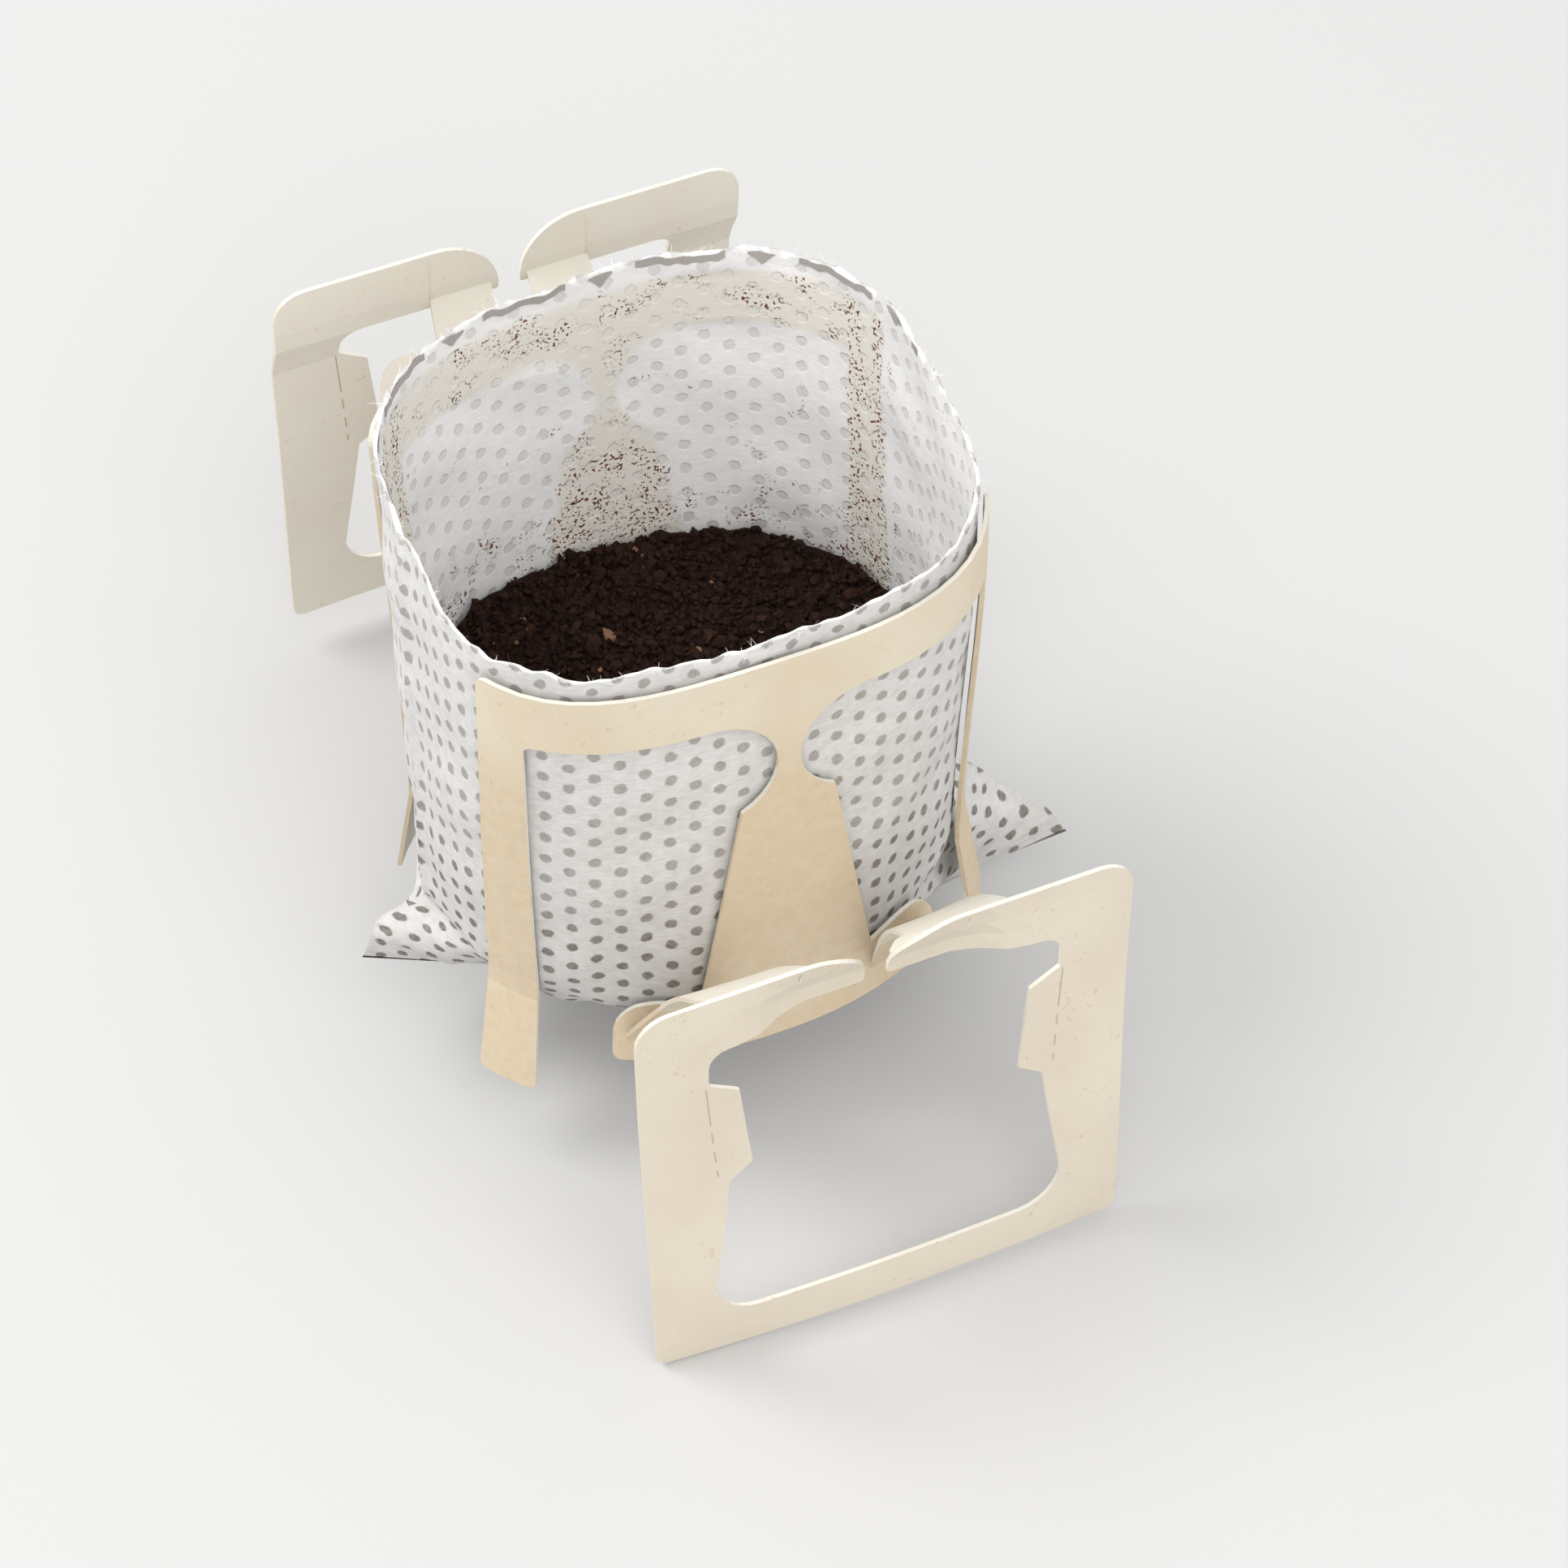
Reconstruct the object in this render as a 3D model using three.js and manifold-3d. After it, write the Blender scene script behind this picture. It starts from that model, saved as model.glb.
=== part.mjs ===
// A single-serve drip coffee bag, torn open and unfolded as it hangs on a rim.
// Millimetres, +Z up. The origin is the centre of the rim's circle, at the rim's top.
// The front holder hangs over the -Y side of the rim and the back holder over the +Y side.
// The rim itself isn't part of the object.
import * as THREE from 'three';
import Module from 'manifold-3d';

const wasm = await Module();
wasm.setup();

// driving sizes
const BAG_FLAT_WIDTH = 90;
const FABRIC = 0.4;
const CARD = 0.45;
const CLEAR = 0.3;
const CARD_HALF = 31;
const CARD_TOP = 26;
const CARD_HEIGHT = 60.5;
const BAND = 7;
const STRIP = 4.9;
const NECK_HALF = 1.2;
const LOBE_R = 6.9;
const FRAME_HALF = CARD_HALF - STRIP;
const FRAME_HEIGHT = CARD_HEIGHT - BAND - 1.5;
const FOOT_HALF = 18;
const FOOT_TOP = -21.8;
const FOOT_BOTTOM = -28.5;
const STEP_X = 5;
const FOOT_CORNER_X = 9.4;
const EAR_BAND = 7.8;
const ARM_LENGTH = 35;
const PANEL_SHIFT = 1.9;
const FRAME_TAPER = 0.9;
const BAR = 5.1;
const FRONT_EAR_TOP = 8.2;
const BACK_EAR_TOP = 12.4;
const BACK_SHIFT = 1.8;
const TORN_Z = 28.5;
const COFFEE_TOP = 35.5;

// Smooth interpolation of [key, value] rows, flat outside the first and last key.
function curve(rows, t) {
  if (t <= rows[0][0]) return rows[0][1];
  const last = rows.length - 1;
  if (t >= rows[last][0]) return rows[last][1];
  let i = 0;
  while (t > rows[i + 1][0]) i += 1;
  const slope = (k) => {
    if (k <= 0 || k >= last) return 0;
    return (rows[k + 1][1] - rows[k - 1][1]) / (rows[k + 1][0] - rows[k - 1][0]);
  };
  const h = rows[i + 1][0] - rows[i][0];
  const u = (t - rows[i][0]) / h;
  const a = rows[i][1];
  const b = rows[i + 1][1];
  const ma = (i === 0 ? (b - a) / h : slope(i)) * h;
  const mb = (i + 1 === last ? (b - a) / h : slope(i + 1)) * h;
  const u2 = u * u;
  const u3 = u2 * u;
  return (2 * u3 - 3 * u2 + 1) * a + (u3 - 2 * u2 + u) * ma + (3 * u2 - 2 * u3) * b + (u3 - u2) * mb;
}

// The bag's section at w millimetres of fabric below the torn edge.
const HALF_WIDTH = [[0, BAG_FLAT_WIDTH * 0.314], [12, 28.4], [25, 28.4], [36, 28.2], [50, 28.2],
  [57, 28.5], [64, 31.8], [70, 36], [75, 37.8]];
const FRONT_Y = [[0, -28], [12, -28.3], [25, -28.4], [40, -28.5], [52, -27.8], [60, -24],
  [66, -17], [71, -10], [75, -8]];
const BACK_Y = [[0, 23.9], [12, 23.6], [25, 22.8], [36, 21.8], [52, 20], [60, 14], [66, 5],
  [71, -4.6], [75, -7.2]];
const FRONT_SQUARE = [[0, 3.25], [12, 3.1], [25, 2.8], [40, 2.45], [50, 2.25], [57, 1.95],
  [64, 1.68], [75, 1.7]];
const BACK_SQUARE = [[0, 2.86], [12, 2.6], [25, 2.3], [40, 2.2], [50, 2.15], [57, 1.95],
  [64, 1.68], [75, 1.7]];
const DROP = [[0, 0], [52, -52], [60, -59], [68, -64.5], [71, -66], [75, -68.6]];
const CORNER_LIFT = [[0, 0], [46, 0], [57, 3.8], [64, 7.2], [70, 8], [75, 7.6]];
const TURN = [[0, 0], [50, 0], [62, -0.07], [75, -0.12]];
const SHEAR = [[0, 0.04], [52, 0.04], [68, 0.02], [75, 0]];
const SLIDE = [[0, -0.7], [52, -0.7], [75, 1.4]];

function section(w, inset) {
  return {
    a: curve(HALF_WIDTH, w) - inset,
    front: curve(FRONT_Y, w) + inset,
    back: curve(BACK_Y, w) - inset,
    pf: curve(FRONT_SQUARE, w),
    pb: curve(BACK_SQUARE, w),
    shear: curve(SHEAR, w),
    slide: curve(SLIDE, w),
    z: TORN_Z + curve(DROP, w),
    lift: curve(CORNER_LIFT, w),
    turn: curve(TURN, w),
  };
}

function onSection(s, angle) {
  const c = Math.cos(angle);
  const n = Math.sin(angle);
  const mid = (s.front + s.back) / 2;
  const d = (s.back - s.front) / 2;
  const p = n < 0 ? s.pf : s.pb;
  const r = 1 / Math.pow(Math.pow(Math.abs(c) / s.a, p) + Math.pow(Math.abs(n) / d, p), 1 / p);
  const x = r * c;
  const reach = Math.pow(Math.abs(x) / s.a, 2.5);
  const y = mid + r * n + s.turn * x;
  return [x + s.slide + s.shear * (y + 3), y, s.z + s.lift * reach + 0.6 * s.turn * x];
}

// Closed surface from rings of equal length; the first and last ring are capped by a fan.
function ringsToMesh(rings, capFirst, capLast) {
  const count = rings[0].length;
  const verts = [];
  const tris = [];
  for (const ring of rings) {
    for (const p of ring) verts.push(p[0], p[1], p[2]);
  }
  for (let i = 0; i < rings.length - 1; i += 1) {
    for (let j = 0; j < count; j += 1) {
      const k = (j + 1) % count;
      const a = i * count + j;
      const b = i * count + k;
      const c = (i + 1) * count + j;
      const d = (i + 1) * count + k;
      tris.push(a, c, b, b, c, d);
    }
  }
  const cap = (row, point, flip) => {
    const centre = verts.length / 3;
    verts.push(point[0], point[1], point[2]);
    for (let j = 0; j < count; j += 1) {
      const k = (j + 1) % count;
      const a = row * count + j;
      const b = row * count + k;
      if (flip) tris.push(a, b, centre);
      else tris.push(b, a, centre);
    }
  };
  if (capFirst) cap(0, capFirst, true);
  if (capLast) cap(rings.length - 1, capLast, false);
  return { verts, tris };
}

function solid(verts, tris) {
  return new wasm.Manifold(new wasm.Mesh({
    numProp: 3,
    vertProperties: new Float32Array(verts),
    triVerts: new Uint32Array(tris),
  }));
}

function centreOf(ring) {
  const sum = [0, 0, 0];
  for (const p of ring) {
    for (let k = 0; k < 3; k += 1) sum[k] += p[k] / ring.length;
  }
  return sum;
}

// The bag: outer skin from the torn edge down to the bottom seam, inner skin back up again.
const AROUND = 72;
function bagRing(w, inset, ragged) {
  const s = section(w, inset);
  const ring = [];
  for (let j = 0; j < AROUND; j += 1) {
    const angle = Math.PI + (j * 2 * Math.PI) / AROUND;
    const p = onSection(s, angle);
    const wave = 0.3 * Math.sin(angle * 5 + 0.6) + 0.25 * Math.sin(angle * 13 + 2) + 0.5 * Math.sin(angle);
    ring.push([p[0], p[1], p[2] + (ragged ? wave : 0)]);
  }
  return ring;
}

function makeBag() {
  const outer = [0, 3, 8, 14, 20, 26, 32, 38, 44, 49, 53, 57, 61, 64.5, 67.5, 69.5, 71, 73, 75];
  const inner = [69, 67, 64.5, 61, 57, 53, 49, 44, 38, 32, 26, 20, 14, 8, 3, 0];
  const innerRings = inner.map((w) => bagRing(w, FABRIC, w === 0));
  const outerRings = outer.map((w) => bagRing(w, 0, w === 0));
  const rings = innerRings.concat(outerRings);
  const made = ringsToMesh(rings, centreOf(rings[0]), centreOf(rings[rings.length - 1]));
  return solid(made.verts, made.tris);
}

// Uneven top of the loose coffee.
function lumps(x, y) {
  return 0.45 * Math.sin(x * 0.45 + 1) * Math.cos(y * 0.38)
    + 0.32 * Math.sin(x * 0.95 + y * 0.4 + 2) * Math.cos(y * 0.85 - x * 0.3)
    + 0.3 * Math.sin(x * 1.5 - y * 0.7) * Math.sin(y * 1.35 + x * 0.8 + 1);
}

// The loose coffee: fills the bag's lower part with a gently heaped top.
function makeCoffee() {
  const gap = FABRIC + CLEAR + 0.28;
  const levels = [COFFEE_TOP, 38, 44, 49, 53, 57, 61, 64.5, 67];
  const side = levels.map((w) => bagRing(w, gap + Math.max(0, w - 53) * 0.09, false));
  const middle = centreOf(side[0]);
  const heap = [];
  for (let i = 1; i < 15; i += 1) {
    const share = i / 15;
    const ring = side[0].map((p) => {
      const x = middle[0] + (p[0] - middle[0]) * share;
      const y = middle[1] + (p[1] - middle[1]) * share;
      return [x, y, middle[2] + 1.5 * (1 - share * share) + lumps(x, y) - 0.05 * x];
    });
    heap.push(ring);
  }
  const rings = heap.concat(side);
  const top = centreOf(heap[0]);
  const made = ringsToMesh(rings, top, centreOf(side[side.length - 1]));
  return solid(made.verts, made.tris);
}

// A slight dish given to the flat slab while it is cut keeps all points of its fine grid.
function dish(x, h) {
  return 0.002 * (x * x + h * h);
}

// A slab in (x, h) with a fine grid, so that it can be bent after it is cut.
function slab(x0, x1, h0, h1, step) {
  const nx = Math.max(1, Math.round((x1 - x0) / step));
  const nh = Math.max(1, Math.round((h1 - h0) / step));
  const verts = [];
  const tris = [];
  for (const n of [-CARD / 2, CARD / 2]) {
    for (let i = 0; i <= nh; i += 1) {
      for (let j = 0; j <= nx; j += 1) {
        const x = x0 + ((x1 - x0) * j) / nx;
        const h = h0 + ((h1 - h0) * i) / nh;
        verts.push(x, h, n + dish(x, h));
      }
    }
  }
  const row = nx + 1;
  const layer = row * (nh + 1);
  for (let i = 0; i < nh; i += 1) {
    for (let j = 0; j < nx; j += 1) {
      const a = i * row + j;
      tris.push(a, a + row, a + 1, a + 1, a + row, a + row + 1);
      const b = a + layer;
      tris.push(b, b + 1, b + row, b + 1, b + row + 1, b + row);
    }
  }
  const wall = (a, b) => {
    tris.push(a, b, a + layer, b, b + layer, a + layer);
  };
  for (let j = 0; j < nx; j += 1) {
    wall(j, j + 1);
    wall(nh * row + j + 1, nh * row + j);
  }
  for (let i = 0; i < nh; i += 1) {
    wall((i + 1) * row, i * row);
    wall(i * row + nx, (i + 1) * row + nx);
  }
  return solid(verts, tris);
}

// A prism standing on a closed outline in (x, h), used as the cutting die.
function die(outline) {
  const pts = outline.map((p) => new THREE.Vector2(p[0], p[1]));
  if (THREE.ShapeUtils.isClockWise(pts)) pts.reverse();
  const faces = THREE.ShapeUtils.triangulateShape(pts, []);
  const n = pts.length;
  const verts = [];
  const tris = [];
  for (const h of [-12, 12]) {
    for (const p of pts) verts.push(p.x, p.y, h);
  }
  for (const f of faces) {
    tris.push(f[2], f[1], f[0]);
    tris.push(f[0] + n, f[1] + n, f[2] + n);
  }
  for (let i = 0; i < n; i += 1) {
    const k = (i + 1) % n;
    tris.push(i, k, k + n, i, k + n, i + n);
  }
  return solid(verts, tris);
}

function bend(flat, map) {
  const mesh = flat.getMesh();
  const np = mesh.numProp;
  const verts = [];
  for (let i = 0; i < mesh.vertProperties.length; i += np) {
    const x = mesh.vertProperties[i];
    const h = mesh.vertProperties[i + 1];
    const q = map(x, h, mesh.vertProperties[i + 2] - dish(x, h));
    verts.push(q[0], q[1], q[2]);
  }
  return solid(verts, Array.from(mesh.triVerts));
}

function arc(cx, cy, r, from, to, count) {
  const pts = [];
  for (let i = 0; i <= count; i += 1) {
    const a = THREE.MathUtils.degToRad(from + ((to - from) * i) / count);
    pts.push([cx + r * Math.cos(a), cy + r * Math.sin(a)]);
  }
  return pts;
}

function mirrored(half) {
  const left = half.map((p) => [-p[0], p[1]]).reverse();
  return half.concat(left);
}

// The glued panel: top band, two side strips, neck, trapezoid and foot, in card height.
function panelOutline() {
  const low = CARD_TOP - CARD_HEIGHT;
  const bandLow = CARD_TOP - BAND;
  const half = [];
  half.push([FOOT_HALF - 1, FOOT_BOTTOM]);
  half.push(...arc(FOOT_HALF - 1, FOOT_BOTTOM + 1, 1, -60, 0, 2));
  half.push(...arc(FOOT_HALF - 4.2, FOOT_TOP - 3.4, 4.2, 10, 100, 7));
  half.push([FOOT_CORNER_X, FOOT_TOP - 0.2]);
  const cx = NECK_HALF + LOBE_R;
  const cy = bandLow - LOBE_R;
  half.push(...arc(cx, cy, LOBE_R, 243, 90, 14));
  half.push(...arc(FRAME_HALF - 1.2, bandLow - 1.2, 1.2, 90, 0, 4));
  half.push(...arc(FRAME_HALF - FRAME_TAPER + 0.7, low + 0.7, 0.7, 180, 270, 3));
  half.push(...arc(CARD_HALF - 0.7, low + 0.7, 0.7, -90, 0, 3));
  half.push(...arc(CARD_HALF - 1.4, CARD_TOP - 1.4, 1.4, 0, 90, 4));
  return mirrored(half);
}

// The hook frame that folds out over the rim: two ears, side bands and the bottom bar.
function frameOutline() {
  const half = [];
  const cx = NECK_HALF + LOBE_R;
  const open = FRAME_HEIGHT - BAR;
  half.push(...arc(cx, -LOBE_R, LOBE_R, 186, 90, 10));
  half.push(...arc(FRAME_HALF - 3.5, -3.5, 3.5, 90, 0, 6));
  half.push(...arc(FRAME_HALF - FRAME_TAPER - 1.2, -FRAME_HEIGHT + 1.2, 1.2, 0, -90, 3));
  const inner = [];
  inner.push(...arc(14.2, -open + 4.6, 4.6, -90, -6, 6));
  inner.push([17.6, -34]);
  inner.push([16.8, -27.4]);
  inner.push([14.3, -25.6]);
  inner.push([15.4, -14.6]);
  inner.push([18.6, -12.6]);
  inner.push(...arc(16.4, -EAR_BAND - 2.2, 2.2, 0, 90, 4));
  inner.push([NECK_HALF + 0.3, -EAR_BAND]);
  const right = half.concat([[0, -FRAME_HEIGHT]]);
  const left = half.map((p) => [-p[0], p[1]]).reverse();
  const innerLeft = inner.map((p) => [-p[0], p[1]]).reverse();
  return right.concat(left, innerLeft, inner);
}

// One arm of the right side, h = 0 at the foot's fold and ARM_LENGTH at the ear.
function armOutline() {
  const pts = [];
  pts.push([FOOT_CORNER_X - 0.2, 0]);
  pts.push([FOOT_HALF - 1.2, 0]);
  pts.push([15.9, 12]);
  pts.push([16.4, 24]);
  pts.push(...arc(13.6, ARM_LENGTH - 7, 2.9, 0, 90, 5));
  pts.push([9.2, ARM_LENGTH - 4.1]);
  pts.push([8.8, ARM_LENGTH]);
  pts.push([1.9, ARM_LENGTH]);
  pts.push([2.2, ARM_LENGTH - 2.2]);
  pts.push([3.6, ARM_LENGTH - 4.4]);
  pts.push([STEP_X, ARM_LENGTH - 5.6]);
  return pts;
}

// Where the card's middle layer lies against the bag: position for (along, height, depth).
function panelMap(side) {
  const cache = new Map();
  const lineAt = (height) => {
    const w = Math.min(TORN_Z - height, 50);
    const key = w.toFixed(3);
    if (cache.has(key)) return cache.get(key);
    const s = section(w, 0);
    const pts = [];
    for (let i = 0; i <= 240; i += 1) {
      const angle = -Math.PI / 2 + ((i - 120) / 120) * 1.5;
      const p = onSection({ ...s, turn: 0, lift: 0 }, side < 0 ? angle : -angle);
      pts.push([p[0], p[1]]);
    }
    const run = [0];
    for (let i = 1; i < pts.length; i += 1) {
      run.push(run[i - 1] + Math.hypot(pts[i][0] - pts[i - 1][0], pts[i][1] - pts[i - 1][1]));
    }
    const zero = run[120];
    const line = { pts, run: run.map((r) => r - zero) };
    cache.set(key, line);
    return line;
  };
  return (across, height, depth) => {
    const line = lineAt(height);
    const along = across + PANEL_SHIFT;
    let i = 0;
    while (i < line.run.length - 2 && line.run[i + 1] < along) i += 1;
    const t = (along - line.run[i]) / (line.run[i + 1] - line.run[i]);
    const a = line.pts[i];
    const b = line.pts[i + 1];
    const dx = b[0] - a[0];
    const dy = b[1] - a[1];
    const len = Math.hypot(dx, dy);
    const out = side < 0 ? [dy / len, -dx / len] : [-dy / len, dx / len];
    const off = CLEAR + CARD / 2 + depth + 0.24 + 0.15 * Math.max(0, TORN_Z - 50 - height);
    const lean = 1 - 0 * Math.max(0, TORN_Z - 50 - height);
    return [(a[0] + dx * t + out[0] * off) * lean, a[1] + dy * t + out[1] * off, height];
  };
}

function smooth(a, b, t) {
  const u = Math.min(1, Math.max(0, (t - a) / (b - a)));
  return u * u * (3 - 2 * u);
}

// Side view of each hook, distances outward from the bag's middle.
const FRONT_HOOK = {
  top: FRONT_EAR_TOP,
  shift: 0.6,
  roll: 0.012,
  plane: (x, z) => {
    const low = smooth(-4, -44, z);
    const bow = 1 - (x / FRAME_HALF) * (x / FRAME_HALF);
    return 51.35 + low * (1.6 + 0.9 * bow) - 2.5 * smooth(8.5, 1, z) * smooth(-12, -5, z)
      * smooth(15, 8, Math.abs(x));
  },
  arm: [[0, 28.8, -25.6], [5.2, 30.9, -20.8], [13.4, 34.6, -13.4], [21.4, 39, -6.7],
    [27.2, 43, -2.4], [31.5, 46.3, 0.6], [35.2, 49.2, 2.0]],
};
const BACK_HOOK = {
  top: BACK_EAR_TOP,
  shift: BACK_SHIFT,
  roll: 0,
  plane: (x, z) => {
    const low = smooth(-4, -44, z);
    const bow = 1 - (x / FRAME_HALF) * (x / FRAME_HALF);
    return 51.35 + low * (1.2 + 0.9 * bow) - 2.4 * smooth(-1, 6, z);
  },
  arm: [[0, 23.2, -25.6], [5.6, 25.4, -20.4], [14, 30.6, -13.8], [22.4, 36.6, -7.9],
    [28.8, 41.8, -3.4], [32.8, 45.2, 1.4], [37.9, 49.5, 6.2]],
};

function armMap(side, hook, panel) {
  const yRows = hook.arm.map((r) => [r[0], r[1]]);
  const zRows = hook.arm.map((r) => [r[0], r[2]]);
  const last = hook.arm[hook.arm.length - 1][0];
  const foot0 = Math.abs(panel(0, -25.6, 0)[1]);
  const start = foot0 - yRows[0][1];
  return (x, h, depth) => {
    const s = (h / ARM_LENGTH) * last;
    const fade = (1 - h / ARM_LENGTH) * (1 - h / ARM_LENGTH);
    const y = curve(yRows, s);
    const z = curve(zRows, s);
    const y2 = curve(yRows, Math.min(s + 0.2, last));
    const y1 = curve(yRows, Math.max(s - 0.2, 0));
    const z2 = curve(zRows, Math.min(s + 0.2, last));
    const z1 = curve(zRows, Math.max(s - 0.2, 0));
    const len = Math.hypot(y2 - y1, z2 - z1);
    const ny = (z2 - z1) / len;
    const nz = -(y2 - y1) / len;
    const footY = Math.abs(panel(x, -25.6, 0)[1]) - foot0;
    const footX = panel(x, -25.6, 0)[0] - x;
    const shift = hook.shift * (h / ARM_LENGTH);
    return [x + footX * fade + shift, side * (y + (start + footY) * fade + ny * depth), z + nz * depth];
  };
}

function frameMap(side, hook) {
  return (x, h, depth) => {
    const z = hook.top + h + hook.roll * x;
    const y = hook.plane(x, z);
    const dz = hook.plane(x, z + 0.3) - hook.plane(x, z - 0.3);
    const len = Math.hypot(0.6, dz);
    const ny = 0.6 / len;
    const nz = -dz / len;
    return [x + hook.shift, side * (y + ny * depth), z + nz * depth];
  };
}

// One holder: a single die-cut card, so its bent parts are joined into one solid.
function makeHolder(side, hook) {
  const panel = panelMap(side);
  const low = CARD_TOP - CARD_HEIGHT;
  const sheet = slab(-CARD_HALF, CARD_HALF, low, CARD_TOP, 2.4);
  const panelFlat = sheet.intersect(die(panelOutline()));
  const frameSheet = slab(-FRAME_HALF, FRAME_HALF, -FRAME_HEIGHT, 0, 2.6);
  const frameFlat = frameSheet.intersect(die(frameOutline()));
  const armSheet = slab(0, 19, 0, ARM_LENGTH, 2.2);
  const rightFlat = armSheet.intersect(die(armOutline()));
  const leftSheet = slab(-19, 0, 0, ARM_LENGTH, 2.2);
  const leftFlat = leftSheet.intersect(die(armOutline().map((p) => [-p[0], p[1]])));
  const arm = armMap(side, hook, panel);
  const frame = frameMap(side, hook);
  const turn = (map) => (x, h, n) => map(x, h, side < 0 ? n : -n);
  let card = bend(panelFlat, turn(panel));
  card = card.add(bend(rightFlat, turn(arm)));
  card = card.add(bend(leftFlat, turn(arm)));
  card = card.add(bend(frameFlat, turn(frame)));
  return card;
}

function toMesh(shape, name, colour, roughness) {
  const mesh = shape.getMesh();
  const geometry = new THREE.BufferGeometry();
  const positions = [];
  const np = mesh.numProp;
  for (let i = 0; i < mesh.vertProperties.length; i += np) {
    positions.push(mesh.vertProperties[i], mesh.vertProperties[i + 1], mesh.vertProperties[i + 2]);
  }
  geometry.setAttribute('position', new THREE.Float32BufferAttribute(positions, 3));
  geometry.setIndex(Array.from(mesh.triVerts));
  geometry.computeVertexNormals();
  const material = new THREE.MeshStandardMaterial({ color: colour, roughness, metalness: 0 });
  const made = new THREE.Mesh(geometry, material);
  made.name = name;
  return made;
}

const group = new THREE.Group();
group.name = 'drip_coffee_bag';
group.add(toMesh(makeBag(), 'filter_bag', 0xeceae6, 0.9));
group.add(toMesh(makeCoffee(), 'coffee_grounds', 0x33201a, 0.95));
group.add(toMesh(makeHolder(-1, FRONT_HOOK), 'front_holder', 0xe9dcc3, 0.85));
group.add(toMesh(makeHolder(1, BACK_HOOK), 'back_holder', 0xe4d9c4, 0.85));

export default group;
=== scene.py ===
# A torn-open drip coffee bag with its two card holders folded out, as it hangs on a rim.
# Lengths in the tables are millimetres; everything is turned into metres when a mesh is made.
import math
import bpy
import numpy as np
from mathutils import Matrix, Vector


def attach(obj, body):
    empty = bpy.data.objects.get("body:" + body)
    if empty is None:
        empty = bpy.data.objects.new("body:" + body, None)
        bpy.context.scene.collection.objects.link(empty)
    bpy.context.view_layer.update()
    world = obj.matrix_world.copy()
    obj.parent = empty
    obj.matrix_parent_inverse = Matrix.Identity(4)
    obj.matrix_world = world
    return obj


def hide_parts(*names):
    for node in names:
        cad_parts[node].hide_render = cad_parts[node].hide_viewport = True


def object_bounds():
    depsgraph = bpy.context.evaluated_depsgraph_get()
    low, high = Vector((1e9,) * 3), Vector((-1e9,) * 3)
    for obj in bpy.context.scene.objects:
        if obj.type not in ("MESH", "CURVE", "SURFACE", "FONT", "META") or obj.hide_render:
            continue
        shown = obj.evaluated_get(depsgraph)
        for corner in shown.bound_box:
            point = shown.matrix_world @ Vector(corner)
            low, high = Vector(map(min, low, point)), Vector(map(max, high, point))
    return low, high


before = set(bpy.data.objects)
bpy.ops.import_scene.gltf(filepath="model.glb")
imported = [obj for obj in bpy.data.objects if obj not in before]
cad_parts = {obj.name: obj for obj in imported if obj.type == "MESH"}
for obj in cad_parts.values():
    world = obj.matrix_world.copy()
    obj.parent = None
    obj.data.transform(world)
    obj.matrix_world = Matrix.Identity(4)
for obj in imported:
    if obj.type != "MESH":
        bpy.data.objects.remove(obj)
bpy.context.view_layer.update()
rng = np.random.default_rng(7)
scene = bpy.context.scene

TORN_Z = 28.5  # height of the torn edge above the rim
FABRIC = 0.34  # from the outer skin to the inner one
COFFEE_TOP = 35.5  # from the torn edge down to the coffee
PANEL_SHIFT = 1.9  # the glued card's middle beside the bag's
AROUND = 300  # points around the bag
LEVEL_STEP = 0.7  # between two rows of the bag's wall
WALL_END, BAG_END = 56, 75  # where finer rows start, and the bottom seam
INNER_END = 44  # the inner skin stops under the coffee, which hides the rest
DOT_ACROSS, DOT_DOWN = 5.02, 3.15  # pitch of the bond dots

# The printed tear line: its period, the length of a dash, and the middle and half length of a blob.
TEAR_PERIOD, TEAR_DASH, TEAR_BLOB, TEAR_BLOB_HALF = 17.2, 9.4, 13.3, 1.4

# The glued card, from its own middle and the rim's height: the band and strips, and the foot's low edge.
CARD_TOP, BAND_LOW, FOOT_LOW = 26, 19, -28.5
STRIP_IN, STRIP_OUT, STRIP_LOW = 26, 31, -34.5
PATCH_HALF, PATCH_TOP = 4.3, 3.0  # the glue patch on the trapezoid

# The bag's form, in rows of (fabric below the torn edge, value), read with smooth interpolation.
# Its half width, and how far its front and back lie from the part's middle:
HALF_WIDTH = [
    (0, 28.26), (12, 28.4), (25, 28.4), (36, 28.2), (50, 28.2),
    (57, 28.5), (64, 31.8), (70, 36), (75, 37.8)]
FRONT_Y = [
    (0, -28), (12, -28.3), (25, -28.4), (40, -28.5), (52, -27.8),
    (60, -24), (66, -17), (71, -10), (75, -8)]
BACK_Y = [(0, 23.9), (12, 23.6), (25, 22.8), (36, 21.8), (52, 20), (60, 14), (66, 5), (71, -4.6), (75, -7.2)]
# The exponent of the section's curve, 2 for an ellipse and more for a squarer one:
FRONT_SQUARE = [(0, 3.25), (12, 3.1), (25, 2.8), (40, 2.45), (50, 2.25), (57, 1.95), (64, 1.68), (75, 1.7)]
BACK_SQUARE = [(0, 2.86), (12, 2.6), (25, 2.3), (40, 2.2), (50, 2.15), (57, 1.95), (64, 1.68), (75, 1.7)]
# The height below the torn edge, and how much the sides lie higher than the middle:
DROP = [(0, 0), (52, -52), (60, -59), (68, -64.5), (71, -66), (75, -68.6)]
CORNER_LIFT = [(0, 0), (46, 0), (57, 3.8), (64, 7.2), (70, 8), (75, 7.6)]
# The section's turn, and its shift to the side, by depth and as a whole:
TURN = [(0, 0), (50, 0), (62, -0.07), (75, -0.12)]
SHEAR = [(0, 0.04), (52, 0.04), (68, 0.02), (75, 0)]
SLIDE = [(0, -0.7), (52, -0.7), (75, 1.4)]


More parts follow.
